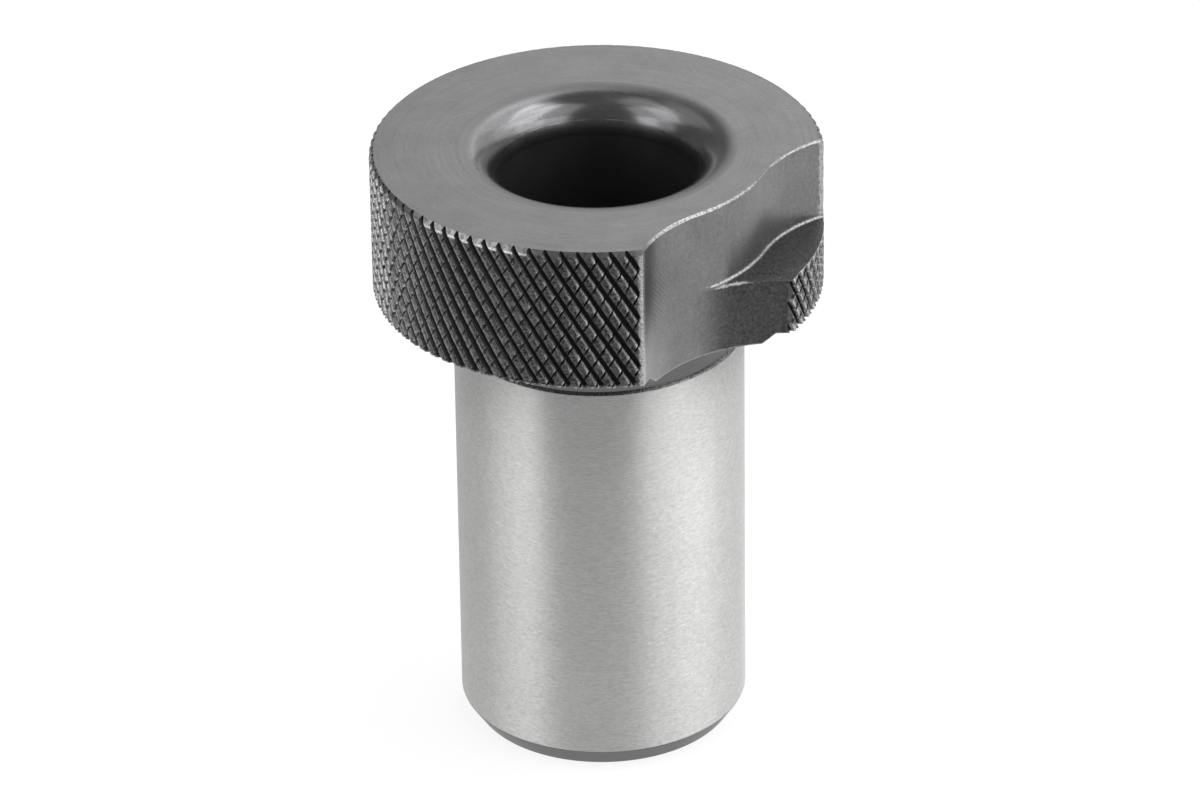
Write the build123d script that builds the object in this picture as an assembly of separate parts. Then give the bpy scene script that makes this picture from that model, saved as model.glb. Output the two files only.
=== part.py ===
from build123d import *
import os
from math import ceil, cos, pi, sin, tan, radians

# Quick-change drill bush with a knurled head and a milled recess for a lock screw.
# The origin is on the bush axis, in the plane of the head's underside, which seats on the
# jig plate. +Z runs up through the head, and the recess is at the front right.

# Turned form
bore_diameter = 15.0
shank_diameter = 22.0
shank_length = 36.0
head_diameter = 34.0
head_height = 12.0
mouth_radius = 3.0
lead_in_length = 1.5
lead_in_depth = 1.0
relief_length = 3.0
relief_depth = 0.25
top_edge_chamfer = 0.35
seat_edge_width = 2.0
seat_edge_height = 1.1

# Diamond knurl round the head: flat diamonds between broad grooves of one hand and narrow
# grooves of the other
knurl_grooves = 88
knurl_angle = 31.0
knurl_depth = 0.32
broad_groove_width = 0.45
narrow_groove_width = 0.16
knurl_start = -0.62

# Recess for the lock screw: a pocket through the whole head, where the screw's head passes,
# and a ledge beside it that turns in under the screw's shoulder
recess_wall_radius = 13.25
cutter_radius = 11.0
pocket_angle = -55.5
lock_turn = 34.0
ledge_height = 5.5
ledge_corner_chamfer = 0.3
recess_edge_chamfer = 0.2
ramp_width = 1.2
ramp_drop = 0.2

# Reach of a cut past the surface that it opens or trims
overrun = 0.5

# Sizes that follow from those above
head_radius = head_diameter / 2
groove_radius = head_radius - knurl_depth
half_pitch = pi / knurl_grooves
row_height = half_pitch * head_radius / tan(radians(knurl_angle))
knurl_rows = ceil((head_height - knurl_start) / row_height)
cutter_path_radius = recess_wall_radius + cutter_radius


def turned_form() -> Part:
    """The bush as turned, with its bore: one half section spun about the bush axis.

    The head is left wider than its knurl, which gives it its diameter and its two edges.
    """
    bore_radius = bore_diameter / 2
    shank_radius = shank_diameter / 2
    relief_radius = shank_radius - relief_depth
    end = -shank_length
    rim_radius = head_radius + overrun
    outside = Polyline(
        (bore_radius, end),
        (shank_radius - lead_in_depth, end),
        (shank_radius, end + lead_in_length),
        (shank_radius, -relief_length - relief_depth),
        (relief_radius, -relief_length),
        (relief_radius, 0),
        (rim_radius, 0),
        (rim_radius, head_height),
        (bore_radius + mouth_radius, head_height),
    )
    mouth_centre = (bore_radius + mouth_radius, head_height - mouth_radius)
    mouth = CenterArc(mouth_centre, mouth_radius, 90, 90)
    wall = Line(mouth @ 1, outside @ 0)
    section = make_face([outside, mouth, wall])
    return revolve(Plane.XZ * section, Axis.Z)


def recess_outline(grow: float = 0.0) -> Sketch:
    """Plan of the whole recess: the cutter's width, swept about the bush axis by the lock turn.

    The outline can be grown by a given distance, to chamfer the recess's upper edge.
    """
    near = CenterArc((0, 0), recess_wall_radius - grow, pocket_angle, lock_turn)
    far = CenterArc((0, 0), cutter_path_radius + cutter_radius + grow, pocket_angle, lock_turn)
    swept = make_face([near, far, Line(near @ 0, far @ 0), Line(near @ 1, far @ 1)])
    ends = PolarLocations(cutter_path_radius, 2, pocket_angle, 2 * lock_turn)
    return swept + ends * Circle(cutter_radius + grow)


def lock_recess() -> Part:
    """Everything that the milling cutter takes out of the head for the lock screw."""
    top = head_height + overrun
    shelf = extrude(Pos(0, 0, ledge_height) * recess_outline(), top - ledge_height)
    shelf = chamfer(shelf.edges().group_by(Axis.Z)[0], ledge_corner_chamfer)
    pocket_place = Rot(0, 0, pocket_angle) * Pos(cutter_path_radius, 0, -overrun)
    upwards = (Align.CENTER, Align.CENTER, Align.MIN)
    pocket = pocket_place * Cylinder(cutter_radius, top + overrun, align=upwards)
    flare = recess_edge_chamfer + overrun
    edge_break = extrude(Pos(0, 0, top) * recess_outline(flare), -flare, taper=45)
    return shelf + pocket + edge_break


def lead_in_ramp() -> Part:
    """Shallow ramp on the ledge's front edge, where the screw's shoulder rides up."""
    foot = Pos(0, 0, ledge_height - ramp_drop)
    upwards = (Align.CENTER, Align.CENTER, Align.MIN)
    cone = Cone(cutter_radius, cutter_radius + ramp_width, ramp_drop, align=upwards)
    placed = foot * Rot(0, 0, pocket_angle) * Pos(cutter_path_radius, 0, 0) * cone
    core = foot * Cylinder(recess_wall_radius + ledge_corner_chamfer, head_height)
    return (placed & extrude(foot * recess_outline(), ramp_drop)) - core


def crossing(column: int, row: int) -> Vector:
    """Bottom point where two grooves cross. Columns are half a groove's pitch apart."""
    angle = column * half_pitch
    height = knurl_start + row * row_height
    return Vector(groove_radius * cos(angle), groove_radius * sin(angle), height)


def plane_corner(first: Plane, second: Plane, third: Plane) -> Vector:
    """Point where three planes meet."""
    one, two, three = first.z_dir, second.z_dir, third.z_dir
    total = two.cross(three) * one.dot(first.origin)
    total += three.cross(one) * two.dot(second.origin)
    total += one.cross(two) * three.dot(third.origin)
    return total / one.dot(two.cross(three))


def diamond(column: int, row: int) -> list[Face]:
    """One knurl diamond: a flat crest and the four groove flanks that fall away from it."""
    angle = column * half_pitch
    outward = Vector(cos(angle), sin(angle), 0)
    crest = Plane(origin=outward * head_radius, z_dir=outward)
    centre = outward * head_radius + Vector(0, 0, knurl_start + row * row_height)
    neighbours = ((column, row + 1), (column + 1, row), (column, row - 1), (column - 1, row))
    bottoms = [crossing(*place) for place in neighbours]
    widths = (broad_groove_width, narrow_groove_width) * 2
    flanks = []
    for index, width in enumerate(widths):
        start, stop = bottoms[index], bottoms[(index + 1) % 4]
        along = (stop - start).normalized()
        middle = (start + stop) / 2
        above = middle + outward * (head_radius - middle.dot(outward))
        inward = centre - above
        inward -= along * inward.dot(along)
        edge_point = above + inward.normalized() * width / 2
        flanks.append(Plane(origin=start, z_dir=along.cross(edge_point - start)))
    corners = [plane_corner(flanks[index - 1], flanks[index], crest) for index in range(4)]
    faces = [Face(Wire.make_polygon(corners))]
    for index in range(4):
        after = (index + 1) % 4
        outline = (bottoms[index], bottoms[after], corners[after], corners[index])
        faces.append(Face(Wire.make_polygon(outline)))
    return faces


def knurled_bar() -> Solid:
    """A bar that is knurled along the head and plain below it, larger than the shank."""
    columns = 2 * knurl_grooves
    faces = []
    for row in range(1, knurl_rows):
        for column in range((row + 1) % 2, columns, 2):
            faces += diamond(column, row)
    drop = Vector(0, 0, -shank_length - overrun - knurl_start)
    for column in range(0, columns, 2):
        left, right = crossing(column, 0), crossing(column + 2, 0)
        faces.append(Face(Wire.make_polygon((left, right, crossing(column + 1, 1)))))
        faces.append(Face(Wire.make_polygon((left, left + drop, right + drop, right))))
    for column in range(knurl_rows % 2, columns, 2):
        ends = (crossing(column, knurl_rows), crossing(column + 2, knurl_rows))
        faces.append(Face(Wire.make_polygon((*ends, crossing(column + 1, knurl_rows - 1)))))
    upper = [crossing(column, knurl_rows) for column in range(knurl_rows % 2, columns, 2)]
    lower = [crossing(column, 0) + drop for column in range(0, columns, 2)]
    faces += [Face(Wire.make_polygon(upper)), Face(Wire.make_polygon(lower))]
    return Solid(Shell(faces))


def bevelled_edges() -> Part:
    """Outer bounds of the head: its two bevelled edges, with one facet for each knurl groove."""
    rim_radius = head_radius + overrun
    low = seat_edge_height * (1 + overrun / seat_edge_width)
    high = head_height - top_edge_chamfer - overrun
    stations = (
        (-shank_length - overrun, head_radius - seat_edge_width),
        (0, head_radius - seat_edge_width),
        (low, rim_radius),
        (high, rim_radius),
        (head_height, head_radius - top_edge_chamfer),
    )
    levels = []
    for height, radius in stations:
        polygon = RegularPolygon(radius, knurl_grooves, major_radius=False)
        levels.append(Pos(0, 0, height) * polygon)
    return loft(levels, ruled=True)


def drill_bushing() -> Part:
    """The finished bush in one piece."""
    knurl = knurled_bar() & bevelled_edges()
    return (turned_form() - lock_recess() - lead_in_ramp()) & knurl


os.makedirs("parts", exist_ok=True)
bush = drill_bushing()
export_step(bush, "parts/drill_bushing.step")
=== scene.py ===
import logging
import math
from dataclasses import dataclass
from enum import Enum
from functools import partialmethod
from typing import Callable, Optional, Union

import bpy
import numpy as np
from mathutils import Matrix, Vector


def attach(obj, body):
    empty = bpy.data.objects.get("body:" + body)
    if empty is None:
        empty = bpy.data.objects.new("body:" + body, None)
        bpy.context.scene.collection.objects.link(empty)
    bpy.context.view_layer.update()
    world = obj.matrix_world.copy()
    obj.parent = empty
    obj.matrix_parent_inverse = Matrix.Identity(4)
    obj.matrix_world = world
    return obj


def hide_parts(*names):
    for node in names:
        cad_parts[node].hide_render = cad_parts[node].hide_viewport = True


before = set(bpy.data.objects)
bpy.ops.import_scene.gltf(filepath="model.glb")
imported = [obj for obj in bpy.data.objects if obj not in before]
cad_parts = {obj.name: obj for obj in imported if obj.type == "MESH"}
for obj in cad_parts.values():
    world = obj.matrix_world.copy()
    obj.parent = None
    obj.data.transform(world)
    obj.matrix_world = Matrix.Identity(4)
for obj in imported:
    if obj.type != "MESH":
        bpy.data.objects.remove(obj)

# Quick-change drill bush: one knurled, turned and milled piece on a pale studio floor.
# Sizes of the bush are in millimetres and angles in degrees; its mesh is in metres.

MILLIMETRE = 0.001
NODE = "drill_bushing"
BODY = "root"
# Mark of bare steel at the vertices; on the knurl partly a painted highlight
WEAR_AND_HIGHLIGHT_MARK = "bare"

# Sizes that several classes refer to
HEAD_HEIGHT = 12.0
SEAT_RADIUS = 15.14
SEAT_SLOPE = 1.03
SEAT_STEP = 0.8
POCKET_CUTTER = 11.0
POCKET_CENTRE = (13.735, -19.985)

Value = Union["Signal", int, float]

log = logging.getLogger("drill_bush")


# Shader arithmetic


class Signal:
    """One output socket of a material's nodes, which can be used in plain arithmetic."""

    def __init__(self, tree: "ShaderTree", socket: bpy.types.NodeSocket) -> None:
        """Keeps the socket and the tree that it belongs to."""
        self.tree = tree
        self.socket = socket

    def math(self, operation: str, *others: Value) -> "Signal":
        """A Math node whose first value is this signal and whose others follow it."""
        sockets = dict(enumerate((self, *others)))
        return self.tree.place("ShaderNodeMath", {"operation": operation}, sockets)

    def _reflected(self, operation: str, first: Value) -> "Signal":
        """A Math node whose second value is this signal."""
        return self.tree.place("ShaderNodeMath", {"operation": operation}, {0: first, 1: self})

    # Operators; the reflected ones have a plain number on their left
    __add__ = partialmethod(math, "ADD")
    __radd__ = partialmethod(_reflected, "ADD")
    __sub__ = partialmethod(math, "SUBTRACT")
    __rsub__ = partialmethod(_reflected, "SUBTRACT")
    __mul__ = partialmethod(math, "MULTIPLY")
    __rmul__ = partialmethod(_reflected, "MULTIPLY")
    __truediv__ = partialmethod(math, "DIVIDE")
    __rtruediv__ = partialmethod(_reflected, "DIVIDE")
    __pow__ = partialmethod(math, "POWER")
    __abs__ = partialmethod(math, "ABSOLUTE")
    highest = partialmethod(math, "MAXIMUM")
    lowest = partialmethod(math, "MINIMUM")

    def swing(self, amount: float) -> "Signal":
        """How far a noise is from its middle, times an amount."""
        return (self - 0.5) * amount

    def rise(self, low: float, high: float) -> "Signal":
        """Smooth step between two limits.

        Args:
            low: Where it is 0; this may be the larger of the two.
            high: Where it is 1.

        Returns:
            The step, between 0 and 1.
        """
        sockets = {"Value": self, "From Min": low, "From Max": high}
        if low > high:
            sockets.update({"From Min": high, "From Max": low, "To Min": 1.0, "To Max": 0.0})
        settings = {"interpolation_type": "SMOOTHSTEP"}
        return self.tree.place("ShaderNodeMapRange", settings, sockets)

    def band(self, centre: float, half_width: float, soft: float) -> "Signal":
        """1 within a half width of the centre, falling smoothly to 0 over the soft margin."""
        return abs(self - centre).rise(half_width + soft, half_width)


@dataclass(frozen=True)
class Clouds:
    """Cloudy noise: its scale, its finer layers, their strength, and how it is drawn out.

    The stretch is a factor on x, y and z, or where it is wrapped on the arc, the height and the
    distance from the bush axis.
    """

    scale: float
    detail: float = 2.0
    rough: float = 0.5
    stretch: tuple = (1.0, 1.0, 1.0)
    wrapped: bool = False

    def on(self, tree: "ShaderTree") -> Signal:
        """The noise on the surface, between 0 and 1."""
        coordinates = tree.wrapped if self.wrapped else tree.stretched
        return tree.noise(coordinates(*self.stretch), self)


class ShaderTree:
    """The nodes of one material, all added through a single method."""

    def __init__(self, name: str) -> None:
        """Makes the material with an empty node tree.

        Args:
            name: The material's name.
        """
        self.material = bpy.data.materials.new(name)
        self.material.use_nodes = True
        self.nodes = self.material.node_tree.nodes
        self.links = self.material.node_tree.links
        self.nodes.clear()
        self._place = self.place("ShaderNodeTexCoord", output="Object")

    def place(
        self,
        kind: str,
        settings: Optional[dict] = None,
        sockets: Optional[dict] = None,
        output: Union[int, str] = 0,
    ) -> Signal:
        """Adds a node, sets it up and fills its inputs.

        Args:
            kind: The node's type.
            settings: The node's own properties.
            sockets: Inputs by name or number, each a number, a colour or a signal.
            output: The output that is handed on.

        Returns:
            The chosen output.
        """
        node = self.nodes.new(kind)
        for key, value in (settings or {}).items():
            setattr(node, key, value)
        for key, value in (sockets or {}).items():
            if isinstance(value, Signal):
                self.links.new(value.socket, node.inputs[key])
            else:
                node.inputs[key].default_value = value
        return Signal(self, node.outputs[output]) if node.outputs else Signal(self, node.inputs[0])

    def axis(self, name: str) -> Signal:
        """One coordinate of the surface point in the bush's frame."""
        split = self.place("ShaderNodeSeparateXYZ", None, {0: self._place}, name)
        return split * (1.0 / MILLIMETRE)

    def radius(self) -> Signal:
        """Distance from the bush axis."""
        x, y = self.axis("X"), self.axis("Y")
        return (x * x + y * y) ** 0.5

    def turn(self) -> Signal:
        """Angle about the bush axis from +X."""
        return self.axis("Y").math("ARCTAN2", self.axis("X")) * math.degrees(1.0)

    def stretched(self, x: float, y: float, z: float) -> Signal:
        """The surface point with its coordinates multiplied by three factors."""
        scale = tuple(factor / MILLIMETRE for factor in (x, y, z))
        return self.place("ShaderNodeMapping", None, {"Vector": self._place, "Scale": scale})

    def wrapped(self, around: float, along: float, outward: float) -> Signal:
        """Coordinates that follow the turned surface.

        Args:
            around: Factor on the arc, kept free of a seam.
            along: Factor on the height.
            outward: Factor on the distance from the axis.

        Returns:
            A vector for a noise texture.
        """
        height = self.axis("Z") * along + self.radius() * outward
        x, y = self.axis("X") * around, self.axis("Y") * around
        return self.place("ShaderNodeCombineXYZ", None, {"X": x, "Y": y, "Z": height})

    def noise(self, at: Signal, clouds: Clouds) -> Signal:
        """Cloudy noise at given coordinates, between 0 and 1."""
        sockets = {"Scale": clouds.scale, "Detail": clouds.detail, "Roughness": clouds.rough}
        return self.place("ShaderNodeTexNoise", None, {"Vector": at, **sockets})

    def marked(self, name: str) -> Signal:
        """A mark that the mesh carries at its vertices."""
        settings = {"attribute_type": "GEOMETRY", "attribute_name": name}
        return self.place("ShaderNodeAttribute", settings, None, "Fac")

    def seat_cone(self) -> Signal:
        """Height above the head's underside, along its bevel too."""
        rise = ((self.radius() - SEAT_RADIUS) * SEAT_SLOPE).highest(0.0)
        return self.axis("Z") - rise.lowest(SEAT_STEP)

    def past_cutter(self) -> Signal:
        """Distance past the reach of the cutter where it cut the pocket."""
        x, y = self.axis("X") - POCKET_CENTRE[0], self.axis("Y") - POCKET_CENTRE[1]
        return (x * x + y * y) ** 0.5 - POCKET_CUTTER

    def mix(self, factor: Value, low: tuple, high: tuple) -> Signal:
        """Colour between two others.

        Args:
            factor: 0 gives the low colour and 1 the high one.
            low: First colour.
            high: Second colour.

        Returns:
            The mixed colour.
        """
        low_colour, high_colour, mixed = 6, 7, 2
        sockets = {0: factor, low_colour: low, high_colour: high}
        return self.place("ShaderNodeMix", {"data_type": "RGBA"}, sockets, mixed)

    def relief(self, height: Signal, depth: float) -> Signal:
        """Surface normal of fine relief whose height runs from 0 to 1 over a depth."""
        sockets = {"Height": height, "Strength": 1.0, "Distance": depth * MILLIMETRE}
        return self.place("ShaderNodeBump", None, sockets, "Normal")

    def surface(
        self, black: Optional[tuple] = None, **sockets: Union[Value, tuple]
    ) -> bpy.types.Material:
        """Closes the tree with a principled surface.

        Args:
            black: Where painted shade makes the surface matt black instead, if anywhere, and how
                black.
            sockets: The surface's inputs, with underscores for the spaces in their names.

        Returns:
            The finished material.
        """
        named = {key.replace("_", " "): value for key, value in sockets.items()}
        shader = self.place("ShaderNodeBsdfPrincipled", None, named)
        if black is not None:
            where, tone = black
            matt = self.place("ShaderNodeBsdfDiffuse", None, {"Color": grey(tone)})
            shader = self.place("ShaderNodeMixShader", None, {0: where, 1: shader, 2: matt})
        self.place("ShaderNodeOutputMaterial", None, {"Surface": shader})
        return self.material


def grey(level: float) -> tuple:
    """A neutral colour of a given level."""
    return (level, level, level, 1.0)


# Finishes


class Grain(Enum):
    """Way in which a machined surface was cut, as the noise of its tool marks."""

    TURNED = Clouds(1.0, 3.0, 0.6, (0.25, 7.0, 0.0), True)
    FACED = Clouds(1.0, 3.0, 0.6, (0.15, 0.0, 9.0), True)
    MILLED = Clouds(2.0, 4.0, 0.65, (2.2, 2.2, 0.9))


@dataclass(frozen=True)
class OxideFinish:
    """Black oxide over machined steel, satin, with mottling, fine scratches and tool marks."""

    name: str
    tone: float
    rough: float
    metal: float = 0.9
    mottle: float = 0.3
    grain: Grain = Grain.TURNED
    grain_share: float = 0.8
    grain_depth: float = 0.003
    bare_tone: float = 0.4
    tint: tuple = (0.99, 0.99, 1.015, 1.0)
    cloud: Clouds = Clouds(0.35, 5.0, 0.6)
    cloud_rough: float = 0.12
    speck: Clouds = Clouds(5.0, 3.0, 0.7)
    speck_rough: float = 0.1
    speck_share: float = 0.5
    # Light hairlines: their strength, directions in radians, shape, coarseness and threshold
    scratches: float = 0.0
    scratch_angles: tuple = (0.35, -0.5, 1.25, 0.02)
    scratch_stretch: tuple = (0.22, 6.0, 1.0)
    scratch_scales: tuple = (0.9, 1.07, 1.24, 1.41)
    scratch_edge: tuple = (0.64, 0.74)

    def _scratches(self, tree: ShaderTree) -> Signal:
        """Sparse light hairlines that lie in several directions.

        Args:
            tree: The material's nodes.

        Returns:
            A mask of the scratches.
        """
        total: Value = 0.0
        for angle, scale in zip(self.scratch_angles, self.scratch_scales):
            sockets = {"Vector": tree.stretched(1.0, 1.0, 1.0), "Angle": angle}
            turned = tree.place("ShaderNodeVectorRotate", {"rotation_type": "Z_AXIS"}, sockets)
            factors = {0: turned, 1: self.scratch_stretch}
            drawn = tree.place("ShaderNodeVectorMath", {"operation": "MULTIPLY"}, factors)
            total = tree.noise(drawn, Clouds(scale)).rise(*self.scratch_edge) + total
        return total

    def _shade(self, tree: ShaderTree) -> Value:
        """Factor on the tone from place to place."""
        return 1.0

    def _polish(self, tree: ShaderTree) -> Value:
        """How much smoother the surface is from place to place."""
        return 0.0

    def _bare(self, tree: ShaderTree) -> Optional[Signal]:
        """Where bare steel shows, if anywhere."""
        return None

    def material(self) -> bpy.types.Material:
        """Builds the material.

        Returns:
            The finished material.
        """
        tree = ShaderTree(self.name)
        noises = (self.cloud, self.speck, self.grain.value)
        cloud, speck, grain = (noise.on(tree) for noise in noises)
        level = cloud.swing(self.mottle) + speck.swing(self.mottle)
        level = level + grain.swing(self.grain_share * self.mottle) + 1.0
        tone = level * self._shade(tree) * self.tone
        if self.scratches:
            tone = tone + self._scratches(tree) * self.scratches
        bare = self._bare(tree)
        if bare is not None:
            tone = bare * self.bare_tone + (1.0 - bare) * tone
        rough = cloud.swing(self.cloud_rough) + speck.swing(self.speck_rough) + self.rough
        height = grain * self.grain_share + speck * self.speck_share
        return tree.surface(
            Base_Color=tree.mix(tone, grey(0.0), self.tint),
            Metallic=self.metal,
            Roughness=rough - self._polish(tree),
            Normal=tree.relief(height, self.grain_depth),
        )


@dataclass(frozen=True)
class MouthFinish(OxideFinish):
    """Oxide in the bore's rounded mouth: as pale as the face outside, polished inside."""

    polished_radii: tuple = (9.9, 9.0)
    polished_heights: tuple = (9.6, 10.5)
    polished_share: float = 1.5
    polish: float = 0.15
    rings: Clouds = Clouds(1.0, 2.0, 0.5, (0.05, 12.0, 0.0), True)
    ring_contrast: float = 0.3
    bore_heights: tuple = (10.2, 9.6)
    bore_share: float = 0.9
    # The hairline where the mouth was blended into the bore
    blend_band: tuple = (10.2, 0.02, 0.03)
    blend_gaps: Clouds = Clouds(0.5)
    blend_edge: tuple = (0.45, 0.65)
    blend_strength: float = 0.35

    def _inside(self, tree: ShaderTree) -> Signal:
        """1 on the polished part of the mouth and 0 on the face and in the bore."""
        inner = tree.radius().rise(*self.polished_radii)
        return inner * tree.axis("Z").rise(*self.polished_heights)

    def _shade(self, tree: ShaderTree) -> Value:
        """Paler where polished, with faint machined rings, and as the bore at the foot.

        Args:
            tree: The material's nodes.

        Returns:
            The factor on the tone.
        """
        shade = 1.0 - self._inside(tree) * (1.0 - self.polished_share)
        shade = shade + self.rings.on(tree).swing(self.ring_contrast)
        return shade * (tree.axis("Z").rise(*self.bore_heights) * (self.bore_share - 1.0) + 1.0)

    def _polish(self, tree: ShaderTree) -> Value:
        """Smoother where polished."""
        return self._inside(tree) * self.polish

    def _bare(self, tree: ShaderTree) -> Optional[Signal]:
        """The broken hairline at the mouth's foot."""
        broken = self.blend_gaps.on(tree).rise(*self.blend_edge)
        return tree.axis("Z").band(*self.blend_band) * broken * self.blend_strength


@dataclass(frozen=True)
class RimFinish(OxideFinish):
    """Oxide on the bevel round the head's top, with a painted highlight at the front left."""

    # Painted highlight: its strength, and where round the head it lies
    painted_highlight: float = 1.5
    highlight_turns: tuple = (-125.0, 11.0, 12.0)
    patches: Clouds = Clouds(2.5, 3.0, 0.7)
    patch_edge: tuple = (0.35, 0.6)

    def _shade(self, tree: ShaderTree) -> Value:
        """Painted highlight in patches at the front left."""
        patchy = self.patches.on(tree).rise(*self.patch_edge)
        return tree.turn().band(*self.highlight_turns) * patchy * self.painted_highlight + 1.0


@dataclass(frozen=True)
class WallFinish(OxideFinish):
    """Oxide on the recess's milled wall, with cutter marks, painted shade and light, and burrs on
    its edges.
    """

    # Painted shade and light: where round the bush, at which heights, and how strong
    corner_shade: tuple = ((-73.0, -77.0), (4.0, 8.0), -0.42)
    foot_light: tuple = ((-64.0, -74.0), (5.5, 2.0), 0.2)
    pocket_shade: tuple = ((-60.0, -43.0), (5.45, 5.2), -0.7)
    # Crossed cutter marks beside the left corner: arc per degree, slopes, pitch and place
    hatch_arc: float = 0.26
    hatch_slopes: tuple = (0.7, -0.9)
    hatch_pitch: float = 0.3
    hatch_turns: tuple = (-72.5, 2.0, 1.5)
    hatch_heights: tuple = (6.8, 1.5, 1.2)
    hatch: float = 0.16
    streaks: Clouds = Clouds(1.0, 3.0, 0.6, (1.2, 1.2, 0.12))
    streak_contrast: float = 0.15
    grit: Clouds = Clouds(4.5, 3.0, 0.7)
    grit_contrast: float = 0.7
    grit_edge: tuple = (0.3, 0.5)
    # Bare steel: the outer corners, the lower edge and the burr beside the ledge's tip
    corner_ragged: float = 0.5
    corner_radii: tuple = (16.55, 16.75)
    sound_turns: tuple = (-33.0, 8.0, 4.0)
    sound_share: float = 0.9
    edge_heights: tuple = (0.12, 0.05)
    edge_strength: float = 0.5
    burr_noise: Clouds = Clouds(2.0, 2.0, 0.7, (2.0, 2.0, 0.3))
    burr_ragged: float = 0.5
    burr_heights: tuple = (5.32, 0.05, 0.05)
    burr_turns: tuple = (-44.5, 4.5, 1.5)

    def _shade(self, tree: ShaderTree) -> Value:
        """Painted shade and light along the wall, and the crossed marks beside its left corner.

        Args:
            tree: The material's nodes.

        Returns:
            The factor on the tone.
        """
        turn, height = tree.turn(), tree.axis("Z")
        shade: Value = 1.0
        # Painted shade high at the left corner and under the ledge at the right; painted light low
        # at the left
        for turns, heights, strength in (self.corner_shade, self.foot_light, self.pocket_shade):
            shade = turn.rise(*turns) * height.rise(*heights) * strength + shade
        place = turn.band(*self.hatch_turns) * height.band(*self.hatch_heights) * self.hatch
        for slope in self.hatch_slopes:
            along = (turn * self.hatch_arc + height * slope) * (math.tau / self.hatch_pitch)
            shade = shade + along.math("SINE") * place
        shade = shade + self.streaks.on(tree).swing(self.streak_contrast)
        return shade + self.grit.on(tree).swing(self.grit_contrast)

    def _bare(self, tree: ShaderTree) -> Optional[Signal]:
        """Burrs on the corners, along the wall's lower edge and beside the ledge's tip.

        Args:
            tree: The material's nodes.

        Returns:
            A mask of the bare places.
        """
        grit, turn = self.grit.on(tree), tree.turn()
        corner = (tree.radius() + grit.swing(self.corner_ragged)).rise(*self.corner_radii)
        corner = corner * (1.0 - turn.band(*self.sound_turns) * self.sound_share)
        edge = tree.seat_cone().rise(*self.edge_heights) * self.edge_strength
        burr = tree.axis("Z") + self.burr_noise.on(tree).swing(self.burr_ragged)
        burr = burr.band(*self.burr_heights) * turn.band(*self.burr_turns)
        return corner.highest(edge).highest(burr) * grit.rise(*self.grit_edge)


@dataclass(frozen=True)
class LedgeFinish(OxideFinish):
    """Oxide on the recess's ledge, sparkling, with a burr on its front edge."""

    sparkle: Clouds = Clouds(5.0, 3.0, 0.85)
    sparkle_contrast: float = 4.0
    ramp_edge: tuple = (1.25, 1.1)
    ramp_streaks: Clouds = Clouds(1.0, 2.0, 0.6, (6.0, 0.0, 0.0), True)
    ramp_contrast: float = 1.2
    ramp_dark: float = 0.15
    burr_turns: tuple = (-39.0, -42.0)
    burr_ragged: float = 0.6
    burr_edge: tuple = (0.28, 0.16)

    def _shade(self, tree: ShaderTree) -> Value:
        """Coarse sparkle, and streaks on the ramp.

        Args:
            tree: The material's nodes.

        Returns:
            The factor on the tone.
        """
        ramp = tree.past_cutter().rise(*self.ramp_edge)
        streaks = self.ramp_streaks.on(tree).swing(self.ramp_contrast) - self.ramp_dark
        return self.sparkle.on(tree).swing(self.sparkle_contrast) + ramp * streaks + 1.0

    def _bare(self, tree: ShaderTree) -> Optional[Signal]:
        """The burr that the cutter left on the front edge, from the tip of the ledge."""
        edge = tree.past_cutter() + self.speck.on(tree).swing(self.burr_ragged)
        return edge.rise(*self.burr_edge) * tree.turn().rise(*self.burr_turns)


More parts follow.
